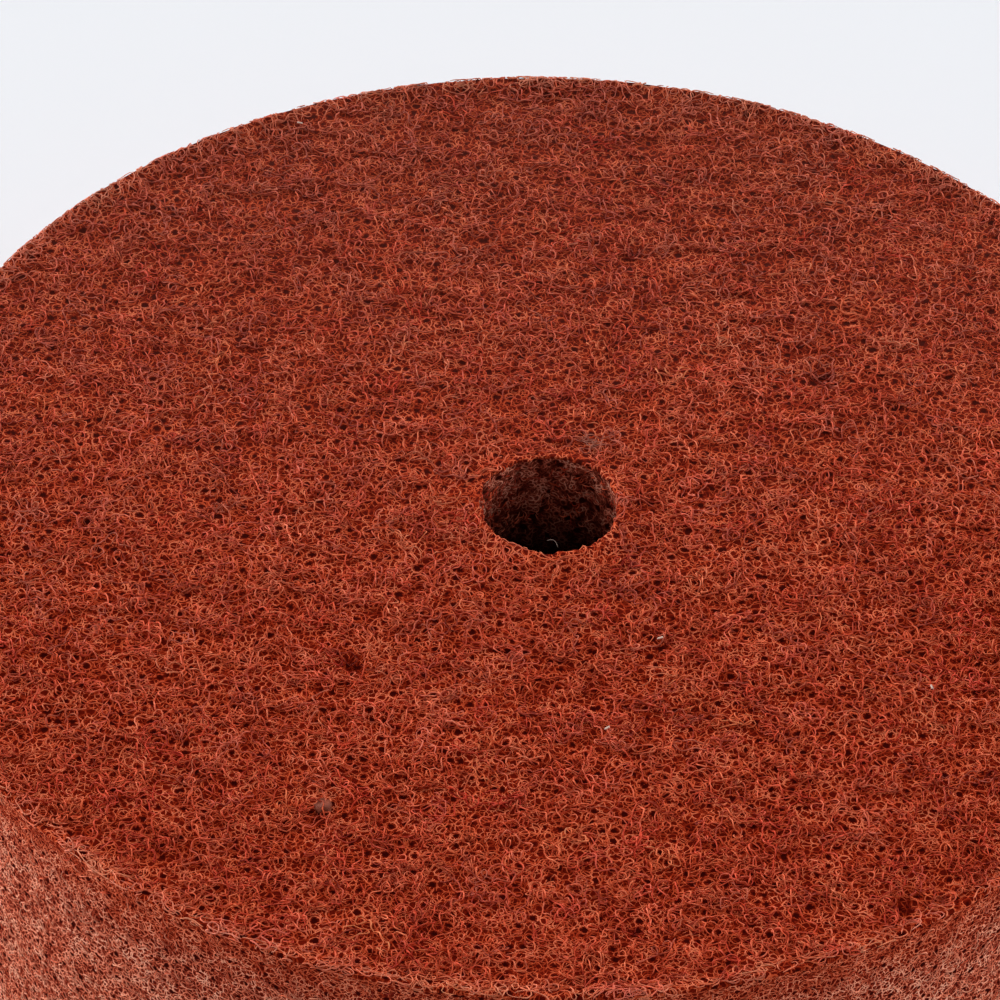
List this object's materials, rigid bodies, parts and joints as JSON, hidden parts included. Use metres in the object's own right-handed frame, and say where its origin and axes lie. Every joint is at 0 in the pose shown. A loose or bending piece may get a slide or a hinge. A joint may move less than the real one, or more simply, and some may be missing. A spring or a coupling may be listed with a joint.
{
  "type": "non-woven fibre polishing wheel",
  "caption": "Thick round disc of bonded curled fibre web with a plain centre bore, clamped on a spindle to clean, deburr and polish metal.",
  "frame": {"origin": "centre of the underside, on the bore axis", "axes": "+Z along the bore, up through the top face"},
  "size_m": [0.2, 0.2, 0.05],
  "materials": {
    "fibre_web": "open curled fibre web, rough and matte"
  },
  "bodies": {
    "root": {"fibre_wheel": "fibre_web"}
  },
  "joints": []
}
